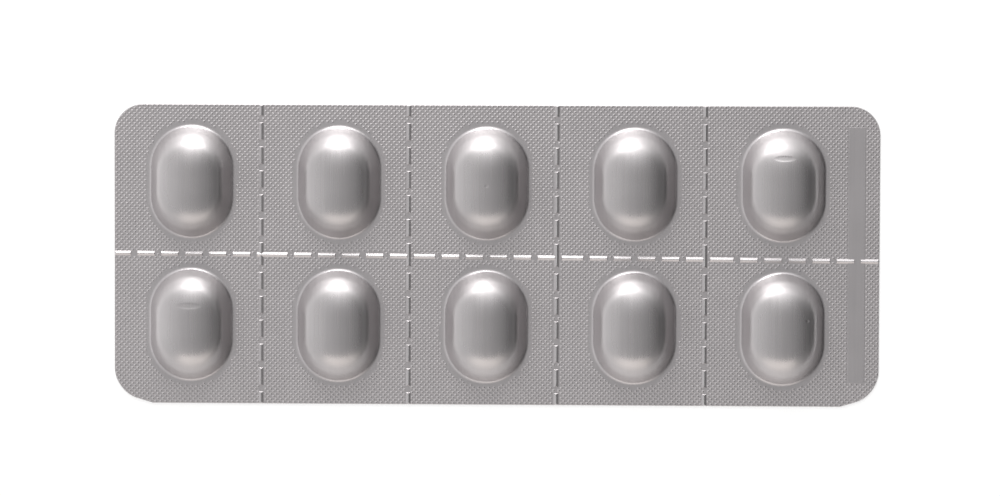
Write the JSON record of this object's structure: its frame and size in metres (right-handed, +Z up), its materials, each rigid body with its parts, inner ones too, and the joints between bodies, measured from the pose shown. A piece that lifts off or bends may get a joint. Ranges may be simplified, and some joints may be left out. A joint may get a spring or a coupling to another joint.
{
  "type": "tablet blister pack",
  "caption": "Flat cold-formed foil blister pack with domed oblong tablet pockets in two rows, knurled sealed web and perforated tear lines between the pockets.",
  "frame": {"origin": "middle of the pack's outline, on the plane that the lid foil lies on", "axes": "+X along the two rows towards the end with the smooth band, +Y across them towards the plainly rounded corners, +Z up out of the domed pockets"},
  "size_m": [0.1274, 0.05, 0.0047],
  "materials": {
    "foil": "satin cold-formed aluminium laminate, fine diamond knurl on the sealed web, fine rolling lines on the domes"
  },
  "bodies": {
    "root": {"blister_pack": "foil"}
  },
  "joints": []
}
